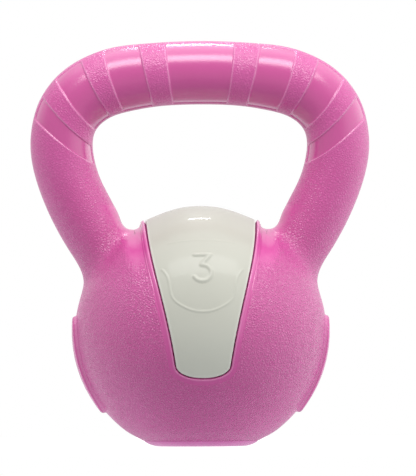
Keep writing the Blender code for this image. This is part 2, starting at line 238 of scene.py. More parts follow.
def smooth_curve(knots, points, places):
    """Read a natural cubic spline through points at the places given."""
    knots = np.asarray(knots, float)
    points = np.asarray(points, float)
    places = np.asarray(places, float)
    steps = np.diff(knots)
    count = len(knots)
    matrix = np.eye(count)
    bends = np.zeros_like(points)
    for row in range(1, count - 1):
        matrix[row, row - 1] = steps[row - 1]
        matrix[row, row] = 2.0 * (steps[row - 1] + steps[row])
        matrix[row, row + 1] = steps[row]
        after = (points[row + 1] - points[row]) / steps[row]
        before = (points[row] - points[row - 1]) / steps[row - 1]
        bends[row] = 6.0 * (after - before)
    bends = np.linalg.solve(matrix, bends)
    index = np.clip(np.searchsorted(knots, places, side="right") - 1, 0, count - 2)
    width = steps[index][:, None]
    left = (knots[index + 1] - places)[:, None]
    right = (places - knots[index])[:, None]
    curve = (bends[index] * left ** 3 + bends[index + 1] * right ** 3) / (6.0 * width)
    curve += (points[index] / width - bends[index] * width / 6.0) * left
    curve += (points[index + 1] / width - bends[index + 1] * width / 6.0) * right
    return curve


def fill(knots, pitch):
    """Knots with even points added, so that no stretch is longer than the pitch."""
    places = [knots[0]]
    for low, high in zip(knots, knots[1:]):
        count = max(1, math.ceil((high - low) / pitch - 0.001))
        places += [low + (high - low) * (step + 1) / count for step in range(count)]
    return np.array(places)


# ---------------------------------------------------------------- the loop of ball and handle


def ball_cuts():
    """Cuts through the right half of the ball: each is a circle with its ends on the ball."""
    cuts = []
    for step in range(BALL_CUTS + 1):
        share = step / BALL_CUTS
        outer = math.radians(BALL_OUTER_START + (180.0 - BALL_OUTER_START) * share)
        inner = math.radians(BALL_INNER_START * (1.0 - share))
        cuts.append((
            BALL_RADIUS * math.sin(outer),
            BALL_CENTRE_Z + BALL_RADIUS * math.cos(outer),
            BALL_RADIUS * math.sin(inner),
            BALL_CENTRE_Z + BALL_RADIUS * math.cos(inner),
            BALL_RADIUS * math.sin((outer - inner) / 2.0),
            0.0,
        ))
    return cuts


def mirrored(cuts):
    return [(-cut[0], cut[1], -cut[2], cut[3], cut[4], cut[5]) for cut in cuts]


def mean_spacing(first, second):
    outer = math.hypot(second[0] - first[0], second[1] - first[1])
    inner = math.hypot(second[2] - first[2], second[3] - first[3])
    return (outer + inner) / 2.0


HALF_CUTS = HANDLE_CUTS + ball_cuts()
HALF_PLACES = [0.0]
for earlier, later in zip(HALF_CUTS, HALF_CUTS[1:]):
    HALF_PLACES.append(HALF_PLACES[-1] + mean_spacing(earlier, later))


def cuts_at(places):
    """Cuts at any place along the right half, smooth across both planes of symmetry."""
    before = mirrored(HALF_CUTS[OVERRUN:0:-1])
    after = mirrored(HALF_CUTS[-2:-2 - OVERRUN:-1])
    knots = [-place for place in HALF_PLACES[OVERRUN:0:-1]] + HALF_PLACES
    knots += [2.0 * HALF_PLACES[-1] - place for place in HALF_PLACES[-2:-2 - OVERRUN:-1]]
    return smooth_curve(knots, before + HALF_CUTS + after, places)


def loop_rings(places, angles):
    """Points round each cut. Row n of angles is for place n: 0 faces the window, 90 the front."""
    cuts = cuts_at(places)
    outer = cuts[:, 0:2]
    inner = cuts[:, 2:4]
    middle = (outer + inner) / 2.0
    half = (inner - outer) / 2.0
    along = np.stack([half[:, 1], -half[:, 0]], axis=1) / np.linalg.norm(half, axis=1)[:, None]
    cosine = np.cos(np.radians(angles))[:, :, None]
    sine = np.sin(np.radians(angles))[:, :, None]
    flat = middle[:, None] + half[:, None] * cosine
    flat = flat - along[:, None] * cuts[:, 5][:, None, None] * sine ** 2
    depth = -cuts[:, 4][:, None] * sine[:, :, 0]
    return np.stack([flat[:, :, 0], depth, flat[:, :, 1]], axis=2)


def loop_slopes(places, angles):
    """Outward unit normals of the loop, and its millimetres per unit of place."""
    step = 0.01
    forward = loop_rings(places + step, angles) - loop_rings(places - step, angles)
    around = loop_rings(places, angles + step) - loop_rings(places, angles - step)
    normals = np.cross(forward, around)
    normals /= np.linalg.norm(normals, axis=2)[:, :, None]
    return normals, np.linalg.norm(forward, axis=2) / (2.0 * step)


# ---------------------------------------------------------------- the panels' outline on the ball


def panel_angle(points):
    """Angle about the ball's side-to-side axis, from the top towards the front or the back."""
    return np.degrees(np.arctan2(np.abs(points[..., 1]), points[..., 2] - BALL_CENTRE_Z))


def panel_side(angles):
    """Half-width of a weight panel before its lower end is rounded."""
    knots = [row[0] for row in PANEL_SIDE]
    widths = [[row[1]] for row in PANEL_SIDE]
    angles = np.asarray(angles, float)
    return smooth_curve(knots, widths, angles.ravel())[:, 0].reshape(angles.shape)


def panel_half_width(angles):
    """Half-width of a weight panel at angles from the top of the ball, zero at its lower end."""
    share = np.clip((angles - PANEL_ROUND_START) / PANEL_ROUND_ANGLE, 0.0, 1.0)
    side = panel_side(np.minimum(angles, PANEL_END_ANGLE))
    return side * (1.0 - share ** PANEL_END_POWER) ** (1.0 / PANEL_END_POWER)


def ball_direction(side, angle):
    """Unit direction from the ball's centre: side is in millimetres on the ball's surface."""
    across = np.asarray(side, float) / BALL_RADIUS
    turn = np.radians(np.asarray(angle, float))
    reach = np.sqrt(1.0 - across ** 2)
    return np.stack([across, -reach * np.sin(turn), reach * np.cos(turn)], axis=-1)


def quarter_outline(count):
    """Directions evenly spaced along one quarter of the panels' outline, top to lower end."""
    straight = np.linspace(0.0, PANEL_ROUND_START, 1500, endpoint=False)
    turn = np.radians(np.linspace(0.0, 90.0, 1200))
    rounded = PANEL_ROUND_START + PANEL_ROUND_ANGLE * np.sin(turn) ** (2.0 / PANEL_END_POWER)
    round_side = panel_side(rounded) * np.cos(turn) ** (2.0 / PANEL_END_POWER)
    side = np.concatenate([panel_side(straight), round_side])
    path = ball_direction(side, np.concatenate([straight, rounded]))
    length = np.concatenate([[0.0], np.cumsum(np.linalg.norm(np.diff(path, axis=0), axis=1))])
    wanted = np.linspace(0.0, length[-1], count + 1)
    even = np.stack([np.interp(wanted, length, path[:, axis]) for axis in range(3)], axis=1)
    return even / np.linalg.norm(even, axis=1)[:, None]


FINE_OUTLINE = quarter_outline(OUTLINE_POINTS)


def outline_offset(points):
    """Distance over the ball from the panels' outline: negative inside it."""
    directions = points - BALL_CENTRE
    directions = directions / np.linalg.norm(directions, axis=-1)[..., None]
    flat = directions.reshape(-1, 3)
    flat = np.stack([np.abs(flat[:, 0]), -np.abs(flat[:, 1]), flat[:, 2]], axis=1)
    closest = np.empty(len(flat))
    parts = max(1, len(flat) // POINTS_AT_A_TIME)
    for part in np.array_split(np.arange(len(flat)), parts):
        closest[part] = (flat[part] @ FINE_OUTLINE.T).max(axis=1)
    distance = BALL_RADIUS * np.arccos(np.clip(closest, -1.0, 1.0))
    angle = np.degrees(np.arctan2(-flat[:, 1], flat[:, 2]))
    within = flat[:, 0] * BALL_RADIUS < panel_half_width(angle)
    distance[within & (angle < PANEL_END_ANGLE)] *= -1.0
    return distance.reshape(points.shape[:-1])


def crown_drop(side, angle):
    """How much flatter than the ball the crown is, towards the sides of the panels' top."""
    across = smoothstep(np.abs(side), *CROWN_SIDES)
    drop = CROWN_MIDDLE_DROP + (CROWN_SIDE_DROP - CROWN_MIDDLE_DROP) * across
    return drop * fade_out(angle, CROWN_FADE)


def ball_relief(points, offset):
    """Height of the shell over the ball: flattened crown, valley beside the rim, and foot."""
    angle = panel_angle(points)
    height = points[..., 2]
    ramp = np.clip((offset - RIM_START) / (RIM_END - RIM_START), 0.0, 1.0) ** VALLEY_POWER
    valley = -VALLEY_DEPTH * ramp * fade_out(offset, VALLEY_RISE) * fade_out(angle, VALLEY_FADE)
    crown = CROWN_RIM_RISE * fade_out(angle, CROWN_FADE) - crown_drop(points[..., 0], angle)
    crown = crown * fade_out(offset, CROWN_RIM_FADE)
    foot = FOOT_RELIEF * fade_out(height, (FOOT_RELIEF_FULL, FOOT_RELIEF_TOP))
    return (valley + crown) * fade_out(height, BALL_RELIEF_FADE) - foot


# ---------------------------------------------------------------- meshes


def grid_faces(rows, columns, closed_columns=False, first=0):
    """Quads between neighbouring points of a grid that is numbered row by row."""
    across = columns if closed_columns else columns - 1
    row, column = np.meshgrid(np.arange(rows - 1), np.arange(across), indexing="ij")
    beside = (column + 1) % columns
    corners = [row * columns + column, row * columns + beside]
    corners += [(row + 1) * columns + beside, (row + 1) * columns + column]
    return (np.stack(corners, axis=-1).reshape(-1, 4) + first).tolist()


def weave_faces(coarse, fine, count, ratio):
    """Faces between a ring of count points and one with ratio times as many."""
    faces = []
    for index in range(count):
        after = (index + 1) % count
        middle = ratio // 2
        near = [fine + index * ratio + step for step in range(middle + 1)]
        far = [fine + index * ratio + step for step in range(middle, ratio)] + [fine + after * ratio]
        for first, second in zip(near, near[1:]):
            faces.append((coarse + index, first, second))
        faces.append((coarse + index, far[0], far[1], coarse + after))
        for first, second in zip(far[1:], far[2:]):
            faces.append((coarse + after, first, second))
    return faces


def add_mesh(name, points, faces, looks=None):
    """Make a mesh object from points in millimetres; looks are values that its material reads."""
    mesh = bpy.data.meshes.new(name)
    mesh.from_pydata((np.asarray(points, float).reshape(-1, 3) * MM).tolist(), [], faces)
    for look, values in (looks or {}).items():
        layer = mesh.attributes.new(look, "FLOAT", "POINT")
        layer.data.foreach_set("value", np.asarray(values, np.float32).ravel())
    face_out(mesh)
    mesh.shade_smooth()
    piece = bpy.data.objects.new(name, mesh)
    bpy.context.scene.collection.objects.link(piece)
    return piece


def face_out(mesh):
    """Turn a closed mesh's faces outwards."""
    shape = bmesh.new()
    shape.from_mesh(mesh)
    bmesh.ops.recalc_face_normals(shape, faces=shape.faces)
    if shape.calc_volume(signed=True) < 0.0:
        bmesh.ops.reverse_faces(shape, faces=shape.faces)
    shape.to_mesh(mesh)
    shape.free()


def join(pieces):
    """Join pieces into the first one."""
    with bpy.context.temp_override(active_object=pieces[0], selected_editable_objects=pieces):
        bpy.ops.object.join()
    return pieces[0]


# ---------------------------------------------------------------- body shell


def recess_share(places, angles, scales):
    """How far each point is on a grip recess's floor, from 0 to 1, and its distance inside."""
    folded = np.abs((angles + 90.0) % 180.0 - 90.0)
    across = np.radians(folded - GRIP_END_ANGLE) * HANDLE_HALF_DEPTH
    inside = np.full(angles.shape, -np.inf)
    for first in range(0, LAST_GRIP_CUT, 2):
        low = HALF_PLACES[first] if first else -HALF_PLACES[1]
        from_low = (places - low)[:, None] * scales
        to_high = (HALF_PLACES[first + 1] - places)[:, None] * scales
        along = np.minimum(from_low, to_high)
        corner = np.maximum(RECESS_CORNER - np.stack([along, across]), 0.0)
        depth = np.minimum(np.minimum(along, across), RECESS_CORNER)
        round_depth = RECESS_CORNER - np.linalg.norm(corner, axis=0)
        depth = np.where((corner > 0.0).all(axis=0), round_depth, depth)
        inside = np.maximum(inside, depth)
    return smoothstep(inside, -RECESS_WALL / 2.0, RECESS_WALL / 2.0), inside


def skin(places, angles):
    """Points of the shell's outside, with how grainy, how matt and how pale at an edge each one is:
    partly wear, partly painted highlight.
    """
    rings = loop_rings(places, angles)
    normals, scales = loop_slopes(places, angles)
    height = rings[:, :, 2]
    offset = np.where(height < ABOVE_BALL, outline_offset(rings), np.inf)
    rise = ball_relief(rings, offset)
    rise = rise - CHANNEL_DEPTH * fade_out(offset, CHANNEL_WALL_FADE)
    rise = rise - SKIN_DIP * fade_out(offset, SKIN_DIP_FADE)
    share, inside = recess_share(places, angles, scales)
    rise = rise - GRIP_RECESS * share
    polished_top = smoothstep(height, *POLISHED_TOP_FADE) * fade_out(offset, POLISHED_RIM_FADE)
    grain = (1.0 - share) * (1.0 - polished_top)
    # A pale line along each recess's upper edge: partly wear, partly a painted highlight of the edge.
    edge = fade_out(np.abs(inside + WEAR_AND_HIGHLIGHT_LINE), WEAR_AND_HIGHLIGHT_LINE_FADE)
    looks = {"grain": grain, "matt": 1.0 - share, "edge": edge}
    return rings + normals * rise[:, :, None], looks


def mirror_rows(rows):
    """The same rows on the other side, in the opposite order."""
    return rows[::-1] * np.array([-1.0, 1.0, 1.0])


def handle_lines():
    """Places along the handle and angles round it, close together at the recesses' walls."""
    knots = [0.0]
    for cut in range(1, LAST_GRIP_CUT + 1):
        knots += [HALF_PLACES[cut] + line for line in EDGE_LINES]
    places = fill(knots + [HALF_PLACES[JOIN_CUT]], HANDLE_PITCH)
    per_mm = math.degrees(1.0 / HANDLE_HALF_DEPTH)
    turns = [0.0] + [GRIP_END_ANGLE + line * per_mm for line in EDGE_LINES]
    turns += [180.0 - GRIP_END_ANGLE + line * per_mm for line in EDGE_LINES] + [180.0]
    half = fill(turns, ANGLE_PITCH)
    return places, np.concatenate([half, 360.0 - half[-2:0:-1]])


def make_outer_skin():
    """The moulding's outside: a handle grid and a finer ball grid, woven together."""
    places, grip_angles = handle_lines()
    count = len(grip_angles)
    even_angles = 360.0 * np.arange(count) / count
    share = smoothstep(places, HALF_PLACES[LEG_CUT], HALF_PLACES[JOIN_CUT])[:, None]
    angles = grip_angles * (1.0 - share) + even_angles * share
    handle, handle_looks = skin(places, angles)

    ball_count = count * BALL_LINES_PER_HANDLE_LINE
    ball_places = fill([HALF_PLACES[JOIN_CUT], HALF_PLACES[-1]], BALL_PITCH)[1:]
    ball_angles = np.tile(360.0 * np.arange(ball_count) / ball_count, (len(ball_places), 1))
    ball, ball_looks = skin(ball_places, ball_angles)

    handle_rows = np.concatenate([mirror_rows(handle[1:]), handle])
    ball_rows = np.concatenate([ball, mirror_rows(ball[:-1])])
    first_ball = handle_rows.shape[0] * count
    last_handle = first_ball - count
    last_ball = first_ball + (ball_rows.shape[0] - 1) * ball_count
    faces = grid_faces(handle_rows.shape[0], count, True)
    faces += grid_faces(ball_rows.shape[0], ball_count, True, first_ball)
    faces += weave_faces(last_handle, first_ball, count, BALL_LINES_PER_HANDLE_LINE)
    faces += weave_faces(0, last_ball, count, BALL_LINES_PER_HANDLE_LINE)
    points = np.concatenate([handle_rows.reshape(-1, 3), ball_rows.reshape(-1, 3)])

    looks = {}
    for look, along_handle in handle_looks.items():
        along_ball = ball_looks[look]
        parts = [along_handle[:0:-1], along_handle, along_ball, along_ball[-2::-1]]
        looks[look] = np.concatenate([part.ravel() for part in parts])
    return add_mesh("body_shell_skin", points, faces, looks)


def open_base(piece, chamfer=0.4):
    """Cut the shell level above the foot, and turn its wall in to the filling hole."""
    shape = bmesh.new()
    shape.from_mesh(piece.data)
    bmesh.ops.bisect_plane(
        shape,
        geom=shape.verts[:] + shape.edges[:] + shape.faces[:],
        plane_co=(0.0, 0.0, SHELL_FLOOR * MM),
        plane_no=(0.0, 0.0, 1.0),
        clear_inner=True,
    )
    border = [edge for edge in shape.edges if edge.is_boundary]
    for edge in border:
        edge.smooth = False
    rings = [
        (HOLE_RADIUS + chamfer, SHELL_FLOOR),
        (HOLE_RADIUS, SHELL_FLOOR + chamfer),
        (HOLE_RADIUS, SHELL_FLOOR + WALL),
    ]
    for radius, height in rings:
        made = bmesh.ops.extrude_edge_only(shape, edges=border)["geom"]
        border = [item for item in made if isinstance(item, bmesh.types.BMEdge) and item.is_boundary]
        for point in {vert for edge in border for vert in edge.verts}:
            stretch = radius * MM / math.hypot(point.co.x, point.co.y)
            point.co = Vector((point.co.x * stretch, point.co.y * stretch, height * MM))
    shape.to_mesh(piece.data)
    shape.free()


def collar_profile():
    """Distance from the panels' outline and height over the shell, from the outside in.

    The last rows are its underside, sunk into the shell's skin.
    """
    bottom = -CHANNEL_DEPTH - COLLAR_SINK
    flat = [6.0, 5.4, 4.9, 4.5]
    flat += [RIM_END + step for step in (0.25, 0.1, 0.0, -0.1, -0.3, -0.6)]
    shares = (1.0, 0.72, 0.48, 0.24, 0.0, -0.24, -0.48, -0.72, -1.0)
    flat += [GROOVE_MIDDLE + GROOVE_HALF_WIDTH * share for share in shares]
    profile = [(COLLAR_END, -0.08), (6.6, 0.01)]
    profile += [(reach, COLLAR_RISE) for reach in flat]
    profile += [(1.7, 0.03), (1.45, 0.05), (1.2, 0.09), (1.0, LIP_RISE), (0.85, LIP_RISE)]
    for step in range(5):
        turn = math.radians(22.5 * step)
        reach = COLLAR_WALL + LIP_RADIUS * (1.0 - math.sin(turn))
        profile.append((reach, LIP_RISE - LIP_RADIUS * (1.0 - math.cos(turn))))
    profile += [(COLLAR_WALL, -1.2), (COLLAR_WALL, bottom)]
    return profile + [(1.5, bottom), (4.0, -1.6), (6.4, -0.9)]


def collar_path():
    """Directions along the panels' whole outline, and the way outwards at each of them."""
    quarter = quarter_outline(COLLAR_STATIONS)
    flip_side = np.array([-1.0, 1.0, 1.0])
    flip_depth = np.array([1.0, -1.0, 1.0])
    path = np.concatenate([
        quarter,
        quarter[-2::-1] * flip_side,
        quarter[1:] * flip_side * flip_depth,
        quarter[-2:0:-1] * flip_depth,
    ])
    tangent = np.roll(path, -1, axis=0) - np.roll(path, 1, axis=0)
    outward = np.cross(path, tangent)
    return path, outward / np.linalg.norm(outward, axis=1)[:, None]


def make_collar():
    """The rim and lip beside the panels: a closed bead laid along their whole outline.

    Its underside is sunk into the shell's skin, so only the rim, the lip and the channel's wall show.
    """
    path, outward = collar_path()
    profile = collar_profile()
    rows = []
    for reach, height in profile:
        turn = reach / BALL_RADIUS
        direction = path * math.cos(turn) + outward * math.sin(turn)
        on_ball = direction * BALL_RADIUS + BALL_CENTRE
        relief = ball_relief(on_ball, np.full(len(path), reach))
        across = abs(reach - GROOVE_MIDDLE) / GROOVE_HALF_WIDTH
        if across < 1.0:
            depth = GROOVE_DEPTH * (1.0 - across ** 2) ** 2
            relief = relief - depth * smoothstep(on_ball[:, 2], *GROOVE_RUN_OUT)
        rows.append(on_ball + direction * (relief + height)[:, None])
    points = np.stack(rows)
    count = len(path)
    faces = grid_faces(len(points), count, True)
    last = (len(points) - 1) * count
    for station in range(count):
        beside = (station + 1) % count
        faces.append((last + station, last + beside, beside, station))
    reaches = np.array([reach for reach, height in profile])[:, None]
    grain = smoothstep(reaches, *COLLAR_GRAIN_START) * fade_out(points[:, :, 2], POLISHED_TOP_FADE)
    # The lip's rounded top is painted paler: a painted highlight.
    edge = fade_out(np.abs(reaches - LIP_HIGHLIGHT_MIDDLE), LIP_HIGHLIGHT_FADE)
    looks = {
        "grain": grain,
        "matt": np.ones(grain.shape),
        "edge": np.broadcast_to(edge, grain.shape),
    }
    return add_mesh("collar", points, faces, looks)


def pad_point(facing, share, rise, turn):
    """Point of a side pad: share is from its middle to its outline, turn goes round it."""
    cosine = math.cos(turn)
    sine = math.sin(turn)
    power = 2.0 / 3.0
    along = PAD_HALF_LENGTH * share * math.copysign(abs(cosine) ** power, cosine)
    across = PAD_HALF_WIDTH * share * math.copysign(abs(sine) ** power, sine)
    angle = math.radians(PAD_MIDDLE_ANGLE) + along / BALL_RADIUS
    radius = BALL_RADIUS + rise
    reach = math.sqrt(radius ** 2 - across ** 2)
    return (facing * reach * math.sin(angle), across, BALL_CENTRE_Z + reach * math.cos(angle))


def pad_rings():
    """Share of a pad's outline and rise over the ball, from its flared foot to its middle."""
    rings = [(1.04, -PAD_SINK), (1.03, -0.1), (1.01, 0.1), (1.0, 0.3), (0.99, PAD_WALL_TOP)]
    for step in range(1, 7):
        turn = math.radians(15.0 * step)
        share = PAD_ROUND_START - PAD_ROUND_SHARE * (1.0 - math.cos(turn))
        rings.append((share, PAD_WALL_TOP + (PAD_RISE - PAD_WALL_TOP) * math.sin(turn)))
    return rings + [(share, PAD_RISE) for share in (0.8, 0.6, 0.4, 0.2, 0.05)]


def make_side_pad(name, facing, sides=96):
    """A low rounded pad on one side of the ball, its foot sunk into the wall."""
    rings = pad_rings()
    turns = [2.0 * math.pi * side / sides for side in range(sides)]
    points = [pad_point(facing, share, rise, turn) for share, rise in rings for turn in turns]
    last = len(points) - sides
    faces = grid_faces(len(rings), sides, True)
    faces.append(list(range(sides)))
    faces.append(list(range(last, len(points))))
    looks = {
        "grain": np.full(len(points), 0.5),
        "matt": np.ones(len(points)),
        # The foot rings carry a painted highlight where the pad meets the ball.
        "edge": np.repeat([share > PAD_HIGHLIGHT_SHARE for share, rise in rings], sides),
    }
    return add_mesh(name, points, faces, looks)


def make_body_shell():
    shell = make_outer_skin()
    open_base(shell)
    pads = [make_side_pad("right_pad", 1.0), make_side_pad("left_pad", -1.0)]
    return join([shell, make_collar()] + pads)


# ---------------------------------------------------------------- weight panels


def stroke_distance(across, along, stroke):
    """Distance in millimetres from points on a panel to the middle line of a stroke."""
    stroke = np.asarray(stroke, float)
    best = np.full(across.shape, np.inf)
    for start, end in zip(stroke, stroke[1:]):
        run = end - start
        share = ((across - start[0]) * run[0] + (along - start[1]) * run[1]) / (run @ run)
        share = np.clip(share, 0.0, 1.0)
        gap = np.hypot(across - start[0] - share * run[0], along - start[1] - share * run[1])
        best = np.minimum(best, gap)
    return best


def bead(distance, half_width, height):
    """Height of a rounded raised line."""
    share = np.clip(distance / half_width, 0.0, 1.0)
    return height * (1.0 - share ** 2) ** 1.2


def numeral_stroke():
    """A plain flat-topped three, about its own middle: across, and down over the ball."""
    stroke = [(-4.2, -7.6), (4.0, -7.6), (-0.6, -1.6)]
    bowl_radius = 4.6
    bowl_across = -0.2
    bowl_down = 3.2
    steps = 12
    for step in range(steps + 1):
        turn = math.radians(-95.0 + 245.0 * step / steps)
        across = bowl_across + bowl_radius * math.cos(turn)
        stroke.append((across, bowl_down + bowl_radius * math.sin(turn)))
    return stroke


def border_stroke(count=80):
    """A plain rounded border under the numeral: across, and down from the numeral's middle."""
    half = [(20.4, 59.0), (18.6, 61.6), (17.3, 65.0), (16.6, 69.5), (15.6, 73.5), (13.0, 76.6)]
    half += [(9.0, 79.0), (4.6, 80.6), (0.0, 81.1)]
    places = np.arange(len(half), dtype=float)
    line = smooth_curve(places, half, np.linspace(0.0, len(half) - 1.0, count))
    stroke = np.concatenate([line, line[-2::-1] * np.array([-1.0, 1.0])])
    stroke[:, 1] = below_numeral(stroke[:, 1])
    return stroke


def ledge_stroke():
    """A faint straight ledge above the numeral: across, and down from the numeral's middle."""
    down = below_numeral(LEDGE_ANGLE)
    return [(-LEDGE_HALF_WIDTH, down), (LEDGE_HALF_WIDTH, down)]


def below_numeral(angles):
    """Distance over the ball from the numeral's middle down to the angles given."""
    return np.radians(angles - NUMERAL_ANGLE) * BALL_RADIUS


def panel_columns():
    """Shares of the half-width, close together at both edges."""
    inner_share = 0.93
    inner = np.linspace(0.0, inner_share, 44)
    shares = np.array([0.25, 0.45, 0.6, 0.72, 0.82, 0.9, 0.96, 1.0])
    half = np.concatenate([inner, inner_share + (1.0 - inner_share) * shares])
    return np.concatenate([-half[:0:-1], half])


def panel_grid(seam):
    """Side and angle of a panel's points, in rows from its seam on top to its lower end."""
    columns = panel_columns()
    share = np.clip(1.0 - np.abs(columns) ** PANEL_END_POWER, 0.0, 1.0) ** (1.0 / PANEL_END_POWER)
    end_angles = PANEL_ROUND_START + PANEL_ROUND_ANGLE * share - math.degrees(PANEL_INSET / BALL_RADIUS)
    edge_rows = np.array([0.0, 0.1, 0.25, 0.4, 0.6, 0.9]) / BALL_RADIUS
    edge_lines = np.degrees(edge_rows) / PANEL_ROUND_START
    inner_lines = np.linspace(0.012, 0.985, 232)
    lines = np.concatenate([edge_lines, inner_lines, 1.0 - edge_lines[::-1]])
    angles = seam + (end_angles - seam)[None, :] * lines[:, None]
    return columns[None, :] * (panel_side(angles) - PANEL_INSET), angles


def make_panel(name, facing, with_mark):
    """A weight panel with rounded edges: facing is 1 for the front and -1 for the rear."""
    seam = math.degrees(GAP / 2.0 / BALL_RADIUS)
    sides, angles = panel_grid(seam)
    directions = ball_direction(sides, angles)
    on_ball = directions * BALL_RADIUS + BALL_CENTRE
    from_outline = -outline_offset(on_ball) - PANEL_INSET
    inside = np.minimum(from_outline, np.radians(angles - seam) * BALL_RADIUS)
    over = np.clip(PANEL_EDGE_RADIUS - inside, 0.0, PANEL_EDGE_RADIUS)
    height = np.sqrt(PANEL_EDGE_RADIUS ** 2 - over ** 2) - PANEL_EDGE_RADIUS
    height = height - crown_drop(sides, angles)
    if with_mark:
        down = below_numeral(angles)
        height = height + bead(stroke_distance(sides, down, numeral_stroke()), *NUMERAL_BEAD)
        height = height + bead(stroke_distance(sides, down, border_stroke()), *BORDER_BEAD)
        height = height + bead(stroke_distance(sides, down, ledge_stroke()), *LEDGE_BEAD)
    top = on_ball + directions * height[:, :, None]
    bottom = BALL_CENTRE + directions * (BALL_RADIUS - PANEL_THICKNESS)
    rows, across = angles.shape
    layer = rows * across
    faces = grid_faces(rows, across)
    faces += grid_faces(rows, across, first=layer)
    index = np.arange(layer).reshape(rows, across)
    rim = np.concatenate([index[0], index[1:, -1], index[-1, -2::-1], index[-2:0:-1, 0]]).tolist()
    for first, second in zip(rim, rim[1:] + rim[:1]):
        faces.append((first, second, second + layer, first + layer))
    points = np.concatenate([top.reshape(-1, 3), bottom.reshape(-1, 3)])
    points = points * np.array([1.0, facing, 1.0])
    # Paler towards the rounded edge: a painted highlight.
    edge = fade_out(inside, PANEL_EDGE_HIGHLIGHT_FADE)
    return add_mesh(name, points, faces, {"edge": np.stack([edge, edge])})


# ---------------------------------------------------------------- base cap


def cap_profile():
    """Radius and height of the cap, from the middle of its foot round to the middle of its top."""
    edge_inset = 0.05
    edge_width = FOOT_RADIUS - FOOT_FLAT_RADIUS - edge_inset
    edge_height = FLANGE_TOP - 0.25
    full_turn = math.radians(60.0)
    steps = 12
    profile = [(0.0, 0.0), (12.0, 0.0), (FOOT_FLAT_RADIUS - 0.8, 0.0)]
    for step in range(steps + 1):
        turn = full_turn * step / steps
        share = math.sin(turn) / math.sin(full_turn)
        rise = (1.0 - math.cos(turn)) / (1.0 - math.cos(full_turn))
        profile.append((FOOT_FLAT_RADIUS + edge_width * share, edge_height * rise))
    plug_radius = HOLE_RADIUS - GAP
    fillet = 0.2
    return profile + [
        (FOOT_RADIUS, FLANGE_TOP - 0.08),
        (FOOT_RADIUS - edge_inset, FLANGE_TOP),
        (plug_radius + fillet, FLANGE_TOP),
        (plug_radius, FLANGE_TOP + fillet),
        (plug_radius, PLUG_TOP - PLUG_CHAMFER),
        (plug_radius - PLUG_CHAMFER, PLUG_TOP),
        (plug_radius - PLUG_WALL, PLUG_TOP),
        (plug_radius - PLUG_WALL, FOOT_HEIGHT),
        (0.0, FOOT_HEIGHT),
    ]


def make_base_cap(segments=120):
    turns = 2.0 * np.pi * np.arange(segments) / segments
    rows = [
        [(radius * math.cos(turn), radius * math.sin(turn), height) for turn in turns]
        for radius, height in cap_profile()[1:-1]
    ]
    points = [point for row in rows for point in row]
    faces = grid_faces(len(rows), segments, True)
    low_middle = len(points)
    points += [(0.0, 0.0, 0.0), (0.0, 0.0, FOOT_HEIGHT)]
    last = (len(rows) - 1) * segments
    for side in range(segments):
        beside = (side + 1) % segments
        faces.append((low_middle, side, beside))
        faces.append((low_middle + 1, last + beside, last + side))
    cap = add_mesh("base_cap_look", points, faces)
    cap.data.set_sharp_from_angle(angle=math.radians(50.0))
    return cap


# ---------------------------------------------------------------- materials


BLACK = (0.0, 0.0, 0.0, 1.0)


def set_range(node, low, high, to_low, to_high):
    """Let a Map Range node map low..high to to_low..to_high."""
    ends = {"From Min": low, "From Max": high, "To Min": to_low, "To Max": to_high}
    for key, number in ends.items():
        node.inputs[key].default_value = number


class Looks:
    """A material's node tree, with short calls that add one node each."""

    # The Mix node's two values and its result, which have their own sockets for each kind.
    MIX_SOCKETS = {"FLOAT": (2, 3, 0), "RGBA": (6, 7, 2)}

    def __init__(self, name):
        self.material = bpy.data.materials.new(name)
        self.material.use_nodes = True
        self.tree = self.material.node_tree
        self.shader = self.tree.nodes["Principled BSDF"]

    def put(self, target, value):
        if isinstance(value, bpy.types.NodeSocket):
            self.tree.links.new(value, target)
        else:
            target.default_value = value

    def node(self, kind, settings=None, **inputs):
        made = self.tree.nodes.new(kind)
        for key, value in (settings or {}).items():
            setattr(made, key, value)
        for key, value in inputs.items():
            self.put(made.inputs[key.replace("_", " ")], value)
        return made

    def set(self, **inputs):
        for key, value in inputs.items():
            self.put(self.shader.inputs[key.replace("_", " ")], value)

    def attribute(self, name):
        return self.node("ShaderNodeAttribute", {"attribute_name": name}).outputs["Fac"]

    def place(self):
        return self.node("ShaderNodeTexCoord").outputs["Object"]

    def along(self, axis):
        return self.node("ShaderNodeSeparateXYZ", Vector=self.place()).outputs[axis]

    def noise(self, scale, detail=2.0):
        made = self.node("ShaderNodeTexNoise", Vector=self.place(), Scale=scale, Detail=detail)
        return made.outputs["Fac"]

    def ramp(self, value, low, high, to_low=0.0, to_high=1.0):
        """Map low..high to to_low..to_high, and hold it beyond."""
        made = self.node("ShaderNodeMapRange", {"clamp": True}, Value=value)
        set_range(made, low, high, to_low, to_high)
        return made.outputs["Result"]

    def math(self, operation, first, second):
        made = self.node("ShaderNodeMath", {"operation": operation})
        self.put(made.inputs[0], first)
        self.put(made.inputs[1], second)
        return made.outputs[0]

    def vector_math(self, operation, first, second):
        made = self.node("ShaderNodeVectorMath", {"operation": operation})
        self.put(made.inputs[0], first)
        self.put(made.inputs[1], second)
        return made.outputs["Vector"]

    def mix(self, share, first, second, kind="RGBA"):
        made = self.node("ShaderNodeMix", {"data_type": kind}, Factor=share)
        first_socket, second_socket, result = self.MIX_SOCKETS[kind]
        self.put(made.inputs[first_socket], first)
        self.put(made.inputs[second_socket], second)
        return made.outputs[result]

    def bump(self, height, distance):
        made = self.node("ShaderNodeBump", Height=height, Strength=1.0, Distance=distance)
        return made.outputs["Normal"]


